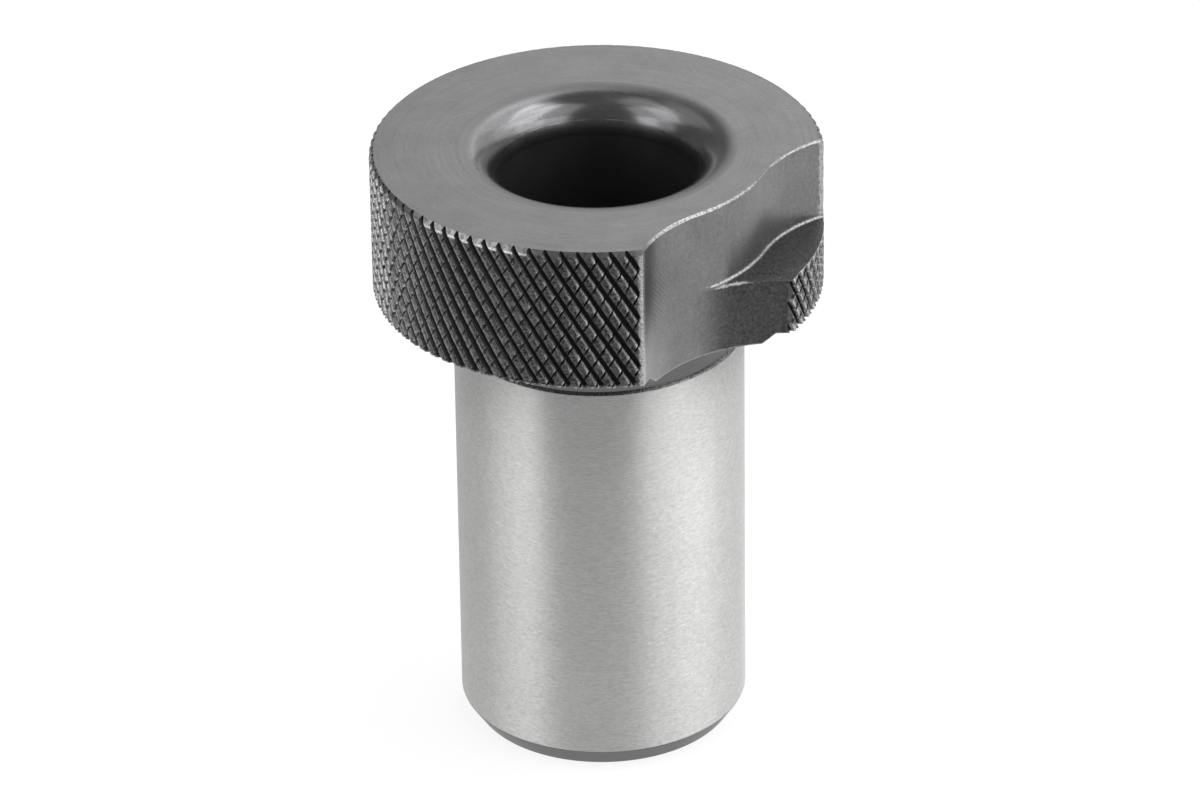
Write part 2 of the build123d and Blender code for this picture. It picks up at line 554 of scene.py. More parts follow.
@dataclass(frozen=True)
class KnurlFinish:
    """Black oxide on the knurl, bare steel on the burrs and pad corners partly as painted
    highlight, painted shade in the grooves, and painted light and shade round the head.
    """

    name: str = "knurled_oxide"
    tone: float = 0.046
    lowest_level: float = 0.2
    bare_tone: float = 0.8
    metal: float = 0.9
    grazing: float = 0.6
    rough: float = 0.28
    pad_rough: float = 0.14
    # Painted shade in the grooves: its tone, and how dark it makes the groove walls
    groove_shade_tone: float = 0.012
    flank_dark: float = 0.88
    # Radii over which the pads and the walls of the grooves begin
    pad_radii: tuple = (16.93, 16.97)
    groove_radii: tuple = (16.7, 16.88)
    # Stretches round the head: where, how much painted shade darkens the groove walls, how much
    # painted light makes the oxide paler
    sides: tuple = (
        ((-156.0, 8.0, 16.0), 0.7, 1.9),
        ((-122.0, 22.0, 14.0), 1.0, 0.0),
        ((-126.0, 10.0, 12.0), 0.0, 0.4),
        ((-22.0, 22.0, 16.0), 0.8, 2.8),
    )
    # Noises, each with the threshold and the contrast with which it speckles the pads
    cloud: Clouds = Clouds(0.6, 3.0, 0.6)
    cloud_contrast: float = 0.8
    speck: Clouds = Clouds(5.5, 3.0, 0.75)
    speck_edge: tuple = (0.4, 0.58)
    speck_contrast: float = 1.6
    speck_rough: float = 0.4
    fleck: Clouds = Clouds(9.0, 2.0, 0.6)
    fleck_edge: tuple = (0.35, 0.65)
    fleck_contrast: float = 0.6
    fleck_share: float = 0.4
    # Shares of the speckle and of the relief that the groove walls have too
    groove_speckle: float = 0.4
    groove_relief: float = 0.3
    relief: float = 0.05
    # Wear: its grain, and along the seat's edge; and a painted highlight, drawn as bare steel, on
    # the upper lip at the front left
    wear_edge: tuple = (0.3, 0.6)
    least_wear: float = 0.25
    seat_edge: tuple = (0.2, 0.1)
    seat_wear: float = 0.4
    lip_heights: tuple = (11.4, 11.55)
    lip_turns: tuple = (-124.0, 12.0, 8.0)
    lip_radii: tuple = (16.86, 16.94)

    def _worn_and_highlit(self, tree: ShaderTree, fleck: Signal) -> Signal:
        """Where bare steel shows, partly as painted highlight.

        Args:
            tree: The material's nodes.
            fleck: The grain of the wear.

        Returns:
            0 on whole oxide and 1 on bare steel.
        """
        # Painted highlight on the upper lip at the front left, drawn as bare steel
        lip = tree.axis("Z").rise(*self.lip_heights) * tree.turn().band(*self.lip_turns)
        lip = lip * tree.radius().rise(*self.lip_radii)
        edge = tree.seat_cone().rise(*self.seat_edge) * self.seat_wear
        worn_and_highlit = tree.marked(WEAR_AND_HIGHLIGHT_MARK).highest(edge).highest(lip)
        return worn_and_highlit * (fleck.rise(*self.wear_edge) * (1.0 - self.least_wear) + self.least_wear)

    def material(self) -> bpy.types.Material:
        """Builds the material.

        Returns:
            The finished material.
        """
        tree = ShaderTree(self.name)
        cloud, speck, fleck = (noise.on(tree) for noise in (self.cloud, self.speck, self.fleck))
        worn_and_highlit = self._worn_and_highlit(tree, fleck)
        pad = tree.radius().rise(*self.pad_radii)
        level = speck.rise(*self.speck_edge).swing(self.speck_contrast)
        level = level + cloud.swing(self.cloud_contrast)
        level = level + fleck.rise(*self.fleck_edge).swing(self.fleck_contrast)
        level = level * (pad * (1.0 - self.groove_speckle) + self.groove_speckle) + 1.0
        # Painted light and shade that change round the head
        dark: Value = 0.0
        pale: Value = 1.0
        for turns, darker, paler in self.sides:
            side = tree.turn().band(*turns)
            dark = side * darker + dark
            pale = side * paler + pale
        # Painted shade: matt black on the groove floors and, by the sides' shares, on the groove
        # walls
        groove_shade = (1.0 - pad).lowest(dark) * self.flank_dark
        groove_shade = groove_shade.highest(1.0 - tree.radius().rise(*self.groove_radii))
        oxide = level.highest(self.lowest_level) * self.tone * pale
        height = speck + fleck * self.fleck_share
        return tree.surface(
            (groove_shade * (1.0 - worn_and_highlit), self.groove_shade_tone),
            Base_Color=worn_and_highlit * self.bare_tone + (1.0 - worn_and_highlit) * oxide,
            Metallic=self.metal,
            Specular_Tint=grey(self.grazing),
            Roughness=(speck.swing(self.speck_rough) + self.pad_rough) * pad + self.rough,
            Normal=tree.relief(
                height * (pad * (1.0 - self.groove_relief) + self.groove_relief), self.relief
            ),
        )


@dataclass(frozen=True)
class BareEdgeFinish:
    """Bright steel where a deburring tool took the oxide off an edge."""

    name: str = "bare_edge"
    tone: float = 0.25
    dark: float = 0.1
    metal: float = 0.95
    rough: float = 0.4
    fleck: Clouds = Clouds(6.0, 3.0, 0.75)
    fleck_edge: tuple = (0.38, 0.58)
    fleck_rough: float = 0.3
    relief: float = 0.01
    # Where round the bush the edge comes out of the left corner's shade
    start_turns: tuple = (-78.0, -74.5)
    start_share: float = 0.15

    def material(self) -> bpy.types.Material:
        """Builds the material.

        Returns:
            The finished material.
        """
        tree = ShaderTree(self.name)
        fleck = self.fleck.on(tree)
        start = tree.turn().rise(*self.start_turns) * (1.0 - self.start_share) + self.start_share
        bright = fleck.rise(*self.fleck_edge) * start
        return tree.surface(
            Base_Color=tree.mix(bright, grey(self.dark), grey(self.tone)),
            Metallic=self.metal,
            Roughness=fleck.swing(self.fleck_rough) + self.rough,
            Normal=tree.relief(fleck, self.relief),
        )


@dataclass(frozen=True)
class GroundFinish:
    """Cylindrically ground steel, bright, with short fine grain around the shank."""

    name: str = "ground_steel"
    tone: float = 0.518
    rough: float = 0.5
    anisotropy: float = 0.95
    quarter_turn: float = 0.25
    tint: tuple = (1.004, 1.0, 0.992, 1.0)
    fine: Clouds = Clouds(1.0, 4.0, 0.7, (1.6, 9.0, 0.0), True)
    fine_contrast: float = 0.7
    short: Clouds = Clouds(1.3, 3.0, 0.6, (2.5, 5.0, 0.0), True)
    short_contrast: float = 0.6
    short_rough: float = 0.2
    short_share: float = 0.5
    cloud: Clouds = Clouds(1.0, 3.0, 0.5, (0.15, 0.3, 0.0), True)
    cloud_contrast: float = 0.12
    relief: float = 0.0015

    def material(self) -> bpy.types.Material:
        """Builds the material.

        Returns:
            The finished material.
        """
        tree = ShaderTree(self.name)
        fine, short, cloud = (noise.on(tree) for noise in (self.fine, self.short, self.cloud))
        level = fine.swing(self.fine_contrast) + short.swing(self.short_contrast)
        level = level + cloud.swing(self.cloud_contrast) + 1.0
        return tree.surface(
            Base_Color=tree.mix(level * self.tone, grey(0.0), self.tint),
            Metallic=1.0,
            Roughness=short.swing(self.short_rough) + self.rough,
            Anisotropic=self.anisotropy,
            Anisotropic_Rotation=self.quarter_turn,
            Normal=tree.relief(fine + short * self.short_share, self.relief),
        )


class Region(Enum):
    """Kinds of surface on the bush, each with its own finish."""

    FACE = OxideFinish("faced_top", 0.089, 0.36, mottle=0.8, grain=Grain.FACED, scratches=0.02)
    MOUTH = MouthFinish("bore_mouth", 0.075, 0.36, mottle=0.4, grain_depth=0.002)
    BORE = OxideFinish("bore_wall", 0.08, 0.4)
    RIM = RimFinish("head_rim", 0.09, 0.4)
    KNURL = KnurlFinish()
    WALL = WallFinish("milled_wall", 0.178, 0.32, mottle=0.5, grain=Grain.MILLED, grain_depth=0.004)
    LEDGE = LedgeFinish("milled_ledge", 0.044, 0.42, grain=Grain.MILLED, grain_depth=0.006)
    EDGE = BareEdgeFinish()
    NECK = OxideFinish("neck_and_seat", 0.14, 0.45)
    SHANK = GroundFinish()
    LEAD_IN = OxideFinish("lead_in", 0.14, 0.4)


# Meshes


def circle(angles: np.ndarray) -> np.ndarray:
    """Points of the unit circle at angles in radians."""
    return np.stack((np.cos(angles), np.sin(angles)), axis=1)


def full_circle(count: int, start: float = 0.0) -> np.ndarray:
    """Evenly spread points of the unit circle, from an angle in radians."""
    return circle(start + np.linspace(0.0, math.tau, count + 1)[:-1])


def at_height(plan: np.ndarray, height: float) -> np.ndarray:
    """Points of a plan, all at one height."""
    return np.column_stack((plan, np.full(len(plan), height)))


def bearing(points: np.ndarray) -> np.ndarray:
    """Angle of each point about the bush axis."""
    return np.degrees(np.arctan2(points[:, 1], points[:, 0]))


def distance(points: np.ndarray, axis: Union[np.ndarray, float] = 0.0) -> np.ndarray:
    """Distance of each point from an upright axis, or else from the bush's own."""
    return np.hypot(*(points[:, :2] - axis).T)


def vectors(items: bpy.types.bpy_prop_collection, name: str) -> np.ndarray:
    """Reads one vector property of all items.

    Args:
        items: The items.
        name: The property.

    Returns:
        The vectors, with a row for each item.
    """
    values = np.empty(len(items) * 3)
    items.foreach_get(name, values)
    return values.reshape(-1, 3)


def put_in_scene(name: str, data: bpy.types.ID) -> bpy.types.Object:
    """Makes an object and links it to the scene.

    Args:
        name: The object's name.
        data: Its mesh, light or camera.

    Returns:
        The object.
    """
    made = bpy.data.objects.new(name, data)
    bpy.context.scene.collection.objects.link(made)
    return made


@dataclass
class Mesh:
    """Vertices and the faces that join them."""

    points: np.ndarray
    faces: list

    def place(self, name: str, unit: float = MILLIMETRE) -> bpy.types.Object:
        """Makes the object, at the origin of the bush's frame.

        Args:
            name: The object's name.
            unit: The unit of the points, in metres.

        Returns:
            The object.
        """
        data = bpy.data.meshes.new(name)
        data.from_pydata((self.points * unit).tolist(), [], self.faces)
        data.validate()
        return put_in_scene(name, data)


def stacked(rings: list[np.ndarray], closed: bool) -> Mesh:
    """Joins rings of equal length into a skin.

    Args:
        rings: Rings of points, counter-clockwise seen from above, each above the one before.
        closed: True joins the last ring to the first; False caps both ends.

    Returns:
        The closed skin.
    """
    count = len(rings[0])
    faces = []
    for level in range(len(rings) if closed else len(rings) - 1):
        low, high = level * count, (level + 1) % len(rings) * count
        for index in range(count):
            after = (index + 1) % count
            faces.append((low + index, low + after, high + after, high + index))
    if not closed:
        last = (len(rings) - 1) * count
        faces += [tuple(range(count - 1, -1, -1)), tuple(range(last, last + count))]
    return Mesh(np.concatenate(rings), faces)


def combine(body: bpy.types.Object, tool: bpy.types.Object, operation: str) -> None:
    """Applies one solid to another and deletes the tool.

    Args:
        body: The solid that stays.
        tool: The solid that cuts or trims it.
        operation: DIFFERENCE or INTERSECT.
    """
    step = body.modifiers.new("cut", "BOOLEAN")
    step.solver = "MANIFOLD"
    step.operation = operation
    step.object = tool
    bpy.context.view_layer.update()
    graph = bpy.context.evaluated_depsgraph_get()
    result = bpy.data.meshes.new_from_object(body.evaluated_get(graph))
    body.modifiers.clear()
    old, body.data = body.data, result
    tool_mesh = tool.data
    bpy.data.objects.remove(tool)
    for mesh in (old, tool_mesh):
        bpy.data.meshes.remove(mesh)
    log.info("%s %s leaves %d faces", operation.lower(), body.name, len(result.polygons))


@dataclass
class Knurl:
    """Diamond knurl round the head: ridges between broad grooves, notched by narrow ones."""

    grooves: int = 88
    angle: float = 31.0
    nominal_radius: float = 17.0
    pad_radius: float = 16.975
    start: float = -0.62
    first_row: int = 1
    last_row: int = 13
    # Across a ridge from one broad groove to the next: position as a share, height, wear with
    # painted highlight
    across: tuple = (
        (0.0, -0.37, 0.0),
        (0.06, -0.33, 0.0),
        (0.13, -0.07, 0.0),
        (0.18, 0.0, 0.1),
        (0.45, -0.01, 0.0),
        (0.62, 0.0, 0.05),
        (0.66, -0.012, 0.9),
        (0.75, -0.1, 0.9),
        (0.82, -0.2, 0.05),
        (0.93, -0.34, 0.0),
    )
    # Along a ridge from one narrow groove to the next: position as a share, depth at the
    # front and round the sides, wear with painted highlight
    along: tuple = (
        (0.0, 1.0, 1.0, 0.0),
        (0.05, 0.85, 0.9, 0.0),
        (0.085, 0.0, 0.6, 1.0),
        (0.16, 0.0, 0.05, 0.3),
        (0.50, 0.0, 0.0, 0.0),
        (0.85, 0.0, 0.05, 0.0),
        (0.93, 0.0, 0.6, 0.0),
        (0.96, 0.85, 0.9, 0.0),
    )
    # Changes round the head: angles about the bush axis, depth and breadth of the narrow
    # grooves there, and wear with painted highlight on a ridge's right and left edge
    turns: tuple = (-180, -170, -160, -142, -125, -106, -94, -76, -50, -35, -5, 20, 180)
    notch_depths: tuple = (0.3, 0.3, 0.3, 0.06, 0.045, 0.13, 0.28, 0.28, 0.3, 0.3, 0.3, 0.3, 0.3)
    notch_spread: tuple = (1.0, 1.0, 1.0, 0.2, 0.0, 0.0, 0.0, 0.0, 1.0, 1.0, 1.0, 1.0, 1.0)
    right_wear_and_highlight: tuple = (0.8, 1.7, 1.7, 0.5, 0.15, 0.55, 0.85, 0.9, 0.6, 0.6, 0.6, 0.7, 0.8)
    left_wear_and_highlight: tuple = (0.5, 0.4, 0.4, 0.4, 0.3, 0.1, 0.0, 0.0, 0.3, 1.1, 1.1, 0.5, 0.5)
    # Narrow grooves: least depth, where on a ridge they begin and how soon they are full,
    # and how much their depth varies, within limits
    notch_shallow: float = 0.02
    notch_start: float = 0.25
    notch_ease: float = 0.2
    notch_varies: float = 0.25
    notch_limits: tuple = (0.5, 1.5)
    # Roughness of the skin: everywhere, where worn and at the notches, and of whole ridges
    ripple: float = 0.004
    worn_ripple: float = 0.012
    notch_ripple: float = 0.008
    ridge_ripple: float = 0.004
    # Random draws: seed, count, and the strides with which vertices and diamonds pick theirs
    seed: int = 11
    draws: int = 4096
    vertex_strides: tuple = (7919, 104729)
    diamond_strides: tuple = (613, 3571, 17)
    # How far burrs close the grooves
    closing: float = 0.9
    # Wear with painted highlight: share of the right edge's, and profiles of the left edge's and
    # the corners'
    edge_share: float = 0.45
    left_profile: tuple = ((0.1, 0.17, 0.3), (0.0, 0.8, 0.0))
    corner_profile: tuple = ((0.5, 0.65, 0.8), (0.0, 1.0, 0.0))

    @property
    def half_pitch(self) -> float:
        """Angle between neighbouring columns of the lattice, in radians."""
        return math.pi / self.grooves

    @property
    def row_height(self) -> float:
        """Height between neighbouring rows of the lattice."""
        return self.half_pitch * self.nominal_radius / math.tan(math.radians(self.angle))

    def _lattice(self) -> tuple[np.ndarray, np.ndarray, np.ndarray]:
        """Numbers the vertices of every diamond.

        Returns:
            The step numbers across and along the ridges of each vertex, and the faces.
        """
        wide, tall = len(self.across), len(self.along)
        lap = self.grooves * wide
        ridge = np.repeat(np.arange(self.grooves), self.last_row - self.first_row + 1)
        row = np.tile(np.arange(self.first_row, self.last_row + 1), self.grooves)
        cross, length = np.meshgrid(np.arange(wide), np.arange(tall), indexing="ij")
        corners = []
        for right, up in ((0, 0), (1, 0), (1, 1), (0, 1)):
            steps = (ridge * wide)[:, None] + (cross.ravel() + right)[None, :]
            climbs = ((row - 1 - ridge) * tall)[:, None] + (length.ravel() + up)[None, :]
            laps = steps // lap
            corners.append((steps - laps * lap, climbs + laps * self.grooves * tall))
        steps = np.stack([corner[0].ravel() for corner in corners], axis=1)
        climbs = np.stack([corner[1].ravel() for corner in corners], axis=1)
        keys = steps.astype(np.int64) + (climbs - climbs.min()) * lap
        unique, faces = np.unique(keys.ravel(), return_inverse=True)
        return unique % lap, unique // lap + climbs.min(), faces.reshape(-1, len(corners))

    def _place(self, steps: np.ndarray, climbs: np.ndarray) -> tuple[np.ndarray, np.ndarray]:
        """Places the lattice's vertices on a cylinder.

        Args:
            steps: Step number across the ridges.
            climbs: Step number along the ridges.

        Returns:
            The angle of each vertex about the bush axis, in radians, and its height.
        """
        wide, tall = len(self.across), len(self.along)
        a = steps // wide + np.array([stop[0] for stop in self.across])[steps % wide]
        b = climbs // tall + np.array([stop[0] for stop in self.along])[climbs % tall]
        return (a - b) * self.half_pitch, self.start + (a + b) * self.row_height

    def _relief(self, steps: np.ndarray, climbs: np.ndarray) -> np.ndarray:
        """Height of each vertex above the pads.

        Args:
            steps: Step number across the ridges.
            climbs: Step number along the ridges.

        Returns:
            The heights.
        """
        table = np.random.default_rng(self.seed).normal(0.0, 1.0, self.draws)
        wide, tall = len(self.across), len(self.along)
        by_step, by_climb = self.vertex_strides
        pick = table[(steps * by_step + climbs * by_climb) % self.draws]
        by_ridge, by_notch, first = self.diamond_strides
        cell = (steps // wide) * by_ridge + (climbs // tall) * by_notch + first
        cell = table[cell % self.draws]
        share, height, wear_and_highlight = np.array(self.across)[steps % wide].T
        _, depth, around, notch_wear = np.array(self.along)[climbs % tall].T
        reach = np.clip((share - self.notch_start) / self.notch_ease, 0.0, 1.0)
        turn = (np.degrees(self._place(steps, climbs)[0]) + 180.0) % 360.0 - 180.0
        side = np.interp(turn, self.turns, self.notch_spread)
        deep = np.interp(turn, self.turns, self.notch_depths)
        notch = self.notch_shallow + (deep - self.notch_shallow) * np.maximum(reach, side)
        depth = depth + (around - depth) * side
        notch *= np.clip(1.0 + self.notch_varies * cell, *self.notch_limits)
        height = np.where(depth > 0, np.minimum(height, -notch * depth), height)
        rough = self.ripple + self.worn_ripple * wear_and_highlight + self.notch_ripple * notch_wear
        height = height + pick * rough + self.ridge_ripple * cell
        return np.minimum(height, self.nominal_radius - self.pad_radius)

    def sleeve(self, bottom: float, closed: Callable[[np.ndarray], np.ndarray]) -> Mesh:
        """The knurled head as a closed solid with a plain stem below it.

        Args:
            bottom: Height of the stem's lower end.
            closed: How far the grooves are closed at points, from 0 to 1.

        Returns:
            The solid, which is longer than the head at both ends.
        """
        steps, climbs, faces = self._lattice()
        angle, height = self._place(steps, climbs)
        outward = circle(angle)
        closing = closed(np.column_stack((self.pad_radius * outward, height)))
        radius = self.pad_radius + self._relief(steps, climbs) * (1.0 - self.closing * closing)
        points = np.column_stack((radius[:, None] * outward, height))
        count = len(points)
        ends = np.concatenate([faces[:, [k, (k + 1) % 4]] for k in range(4)])
        forward, backward = ends @ (count, 1), ends @ (1, count)
        rim = ends[~np.isin(forward, backward)]
        above = points[rim, 2].mean(axis=1) > self.start + self.row_height * (self.last_row - 1)
        upper, lower = rim[above], rim[~above]
        used, where = np.unique(lower.ravel(), return_inverse=True)
        where = where.reshape(-1, 2) + count
        stem = at_height(points[used, :2], bottom)
        centres = [[0.0, 0.0, height.max()], [0.0, 0.0, bottom]]
        top_centre = count + len(used)
        skin = faces.tolist() + [(v, u, top_centre) for u, v in upper.tolist()]
        for (u, v), (low_u, low_v) in zip(lower.tolist(), where.tolist()):
            skin += [(v, u, low_u, low_v), (low_v, low_u, top_centre + 1)]
        return Mesh(np.concatenate((points, stem, centres)), skin)

    def wear_and_highlight(self, points: np.ndarray) -> np.ndarray:
        """Bare steel at points on the knurl, partly a painted highlight that changes round the
        head.

        Args:
            points: Points on the knurl.

        Returns:
            0 for whole oxide and 1 for bare steel, at each point.
        """
        turn = bearing(points)
        column = np.radians(turn) / self.half_pitch
        row = (points[:, 2] - self.start) / self.row_height
        a, b = ((row + column) / 2) % 1.0, ((row - column) / 2) % 1.0
        across = np.array(self.across + ((1.0, 0.0, 0.0),))
        along = np.array(self.along + ((1.0, 0.0, 0.0, 0.0),))
        # The ridges' bare edges change round the head, partly as painted highlight
        right = np.interp(turn, self.turns, self.right_wear_and_highlight)
        left = np.interp(turn, self.turns, self.left_wear_and_highlight)
        side = np.interp(a, across[:, 0], across[:, 2]) * right * self.edge_share
        side = np.maximum(side, np.interp(a, *self.left_profile) * left)
        corner = np.interp(b, along[:, 0], along[:, 3]) * np.interp(a, *self.corner_profile)
        return np.clip(side + corner * right, 0.0, 1.0)


@dataclass
class LockRecess:
    """Milled recess for the lock screw: a pocket through the head, and a ledge beside it."""

    wall_radius: float = 13.25
    cutter_radius: float = POCKET_CUTTER
    pocket_angle: float = -55.5
    lock_turn: float = 34.0
    ledge_height: float = 5.5
    head_height: float = HEAD_HEIGHT
    corner_radius: float = 0.22
    corner_steps: int = 6
    arc_steps: int = 40
    ramp_width: float = 1.2
    ramp_drop: float = 0.2
    ramp_inset: float = 0.1
    ramp_roof: float = 0.15
    # Broken upper edge: its width, the stretch where it is thinner, the stretch over which it
    # becomes thicker, each within a radius, and its wobble as amounts, rates and phases
    edge_break: float = 0.14
    thin_turns: tuple = (-29.0, -14.0)
    thin_margin: float = 1.4
    thin_share: float = 0.75
    thin_reach: float = 20.0
    thick_turns: tuple = (-40.0, -60.0)
    thick_extra: float = 0.05
    thick_reach: float = 18.0
    wobbles: tuple = ((0.03, 1.7, 0.0), (0.02, 4.3, 1.0))
    # Reach of cuts past the head, and small steps that keep cuts off each other's faces
    overrun: float = 1.0
    pocket_clearance: float = 0.002
    edge_clearance: float = 0.08
    foot_clearance: float = 0.01
    # Burrs: width, the part of it that fades, stretches, and reach above and inside the rim
    burr_reach: float = 0.34
    burr_fade: float = 0.16
    left_burr_start: float = -90.0
    right_burr: tuple = (0.0, 14.0)
    burr_above: float = 0.5
    burr_outside: float = 0.1

    @property
    def path_radius(self) -> float:
        """Distance of the cutter's centre line from the bush axis."""
        return self.wall_radius + self.cutter_radius

    @property
    def path_ends(self) -> np.ndarray:
        """Plan positions of the cutter at the two ends of its path."""
        angles = np.radians((self.pocket_angle, self.pocket_angle + self.lock_turn))
        return self.path_radius * circle(angles)

    def _outline(self, grow: Union[float, np.ndarray], height: float) -> np.ndarray:
        """Outline of the recess at one height.

        Args:
            grow: How far the outline is moved outwards, at each point or all round.
            height: The outline's height.

        Returns:
            Points in order, counter-clockwise seen from above.
        """
        start = math.radians(self.pocket_angle)
        swept = math.radians(self.lock_turn)
        stop = start + swept
        first, last = self.path_ends
        outer_radius = self.path_radius + self.cutter_radius
        # Of each arc: the centre, the radius, the first angle, the swing and the outward side
        arcs = (
            (np.zeros(2), self.wall_radius, stop, start - stop, -1.0),
            (first, self.cutter_radius, start + math.pi, math.pi, 1.0),
            (np.zeros(2), outer_radius, start, stop - start, 1.0),
            (last, self.cutter_radius, stop, math.pi, 1.0),
        )
        share = np.linspace(0.0, 1.0, self.arc_steps + 1)[:-1]
        plan, normal = [], []
        for centre, radius, begin, swing, side in arcs:
            arm = circle(begin + swing * share)
            plan.append(centre + arm * radius)
            normal.append(arm * side)
        moved = np.concatenate(plan) + np.concatenate(normal) * np.reshape(grow, (-1, 1))
        return at_height(moved, height)

    def _edge_widths(self) -> np.ndarray:
        """Width of the broken upper edge at each point of the outline.

        Returns:
            The widths, in the outline's order.
        """
        plan = self._outline(0.0, 0.0)
        angle, radius = bearing(plan), distance(plan)
        low, high = self.thin_turns
        centre, half = (low + high) / 2, (high - low) / 2
        thin = np.clip(self.thin_margin - np.abs(angle - centre) / half, 0.0, 1.0)
        thin = thin * (radius < self.thin_reach)
        wobble = sum(amount * np.sin(angle * rate + phase) for amount, rate, phase in self.wobbles)
        begin, full = self.thick_turns
        thick = self.thick_extra * np.clip((begin - angle) / (begin - full), 0.0, 1.0)
        thick = thick * (radius < self.thick_reach)
        return (self.edge_break + thick) * (1.0 - self.thin_share * thin) + wobble * (1.0 - thin)

    def shelf(self) -> Mesh:
        """Shapes the upper cut, down to the ledge.

        Returns:
            The cut, with its rounded foot and broken upper edge.
        """
        rings = []
        for swing in np.radians(np.linspace(0.0, 90.0, self.corner_steps + 1)):
            inset = self.corner_radius * (1.0 - math.sin(swing))
            rise = self.corner_radius * (1.0 - math.cos(swing))
            rings.append(self._outline(-inset, self.ledge_height + rise))
        widths = self._edge_widths()
        edge = self._outline(0.0, self.head_height)
        edge[:, 2] -= widths
        roof = self._outline(widths + self.overrun, self.head_height + self.overrun)
        return stacked([*rings, edge, roof], closed=False)

    def _disc(self, radius: float, height: float) -> np.ndarray:
        """A circle about the cutter's first position."""
        ring = full_circle(4 * self.arc_steps, math.radians(self.pocket_angle))
        return at_height(self.path_ends[0] + radius * ring, height)

    def pocket(self) -> Mesh:
        """Shapes the pocket's cut.

        Returns:
            The cut, through the whole head.
        """
        clear = self.cutter_radius + self.pocket_clearance
        break_start = self.head_height - self.edge_break - self.edge_clearance
        heights = (-self.overrun, break_start)
        return stacked([self._disc(clear, height) for height in heights], closed=False)

    def ramp(self) -> Mesh:
        """Shapes the cut that eases the ledge's front edge.

        Returns:
            A shallow cone with a roof.
        """
        inner, outer = self.cutter_radius - self.ramp_inset, self.cutter_radius + self.ramp_width
        low = self._disc(inner, self.ledge_height - self.ramp_drop)
        high = self._disc(outer, self.ledge_height)
        roof = self._disc(outer, self.ledge_height + self.ramp_roof)
        return stacked([low, high, roof], closed=False)

    def ramp_bounds(self) -> Mesh:
        """Shapes the space in which the ramp may cut.

        Returns:
            The space, which ends beside the wall's rounded foot.
        """
        inset = self.corner_radius + self.foot_clearance
        heights = (self.ledge_height - self.overrun, self.ledge_height + self.overrun)
        return stacked([self._outline(-inset, height) for height in heights], closed=False)

    def burred(self, points: np.ndarray) -> np.ndarray:
        """Share of the burr that closes the knurl's grooves beside the milled edges.

        Args:
            points: Points on the knurl.

        Returns:
            1 on an edge, falling to 0 within a short distance.
        """
        inside, turn = self.depth_in_plan(points), bearing(points)
        below = self.ledge_height - points[:, 2]
        beside = np.clip((inside + self.burr_reach) / self.burr_fade, 0.0, 1.0)
        left = (turn > self.left_burr_start) & (turn < self.pocket_angle)
        start, stop = self.right_burr
        right = (turn > start) & (turn < stop) & (below < self.burr_reach)
        rim = np.clip((self.burr_reach - below) / self.burr_fade, 0.0, 1.0)
        rim = rim * (below > -self.burr_above) * (inside > -self.burr_outside)
        return np.maximum(beside * (left | right), rim * (turn > self.pocket_angle))

    def depth_in_plan(self, points: np.ndarray) -> np.ndarray:
        """How far inside the recess's plan outline points lie.

        Args:
            points: Points anywhere.

        Returns:
            Distances from the outline, negative outside it.
        """
        angle = bearing(points)
        swept = (angle > self.pocket_angle) & (angle < self.pocket_angle + self.lock_turn)
        to_path = np.abs(distance(points) - self.path_radius)
        to_ends = [distance(points, end) for end in self.path_ends]
        return self.cutter_radius - np.where(swept, to_path, np.minimum(*to_ends))


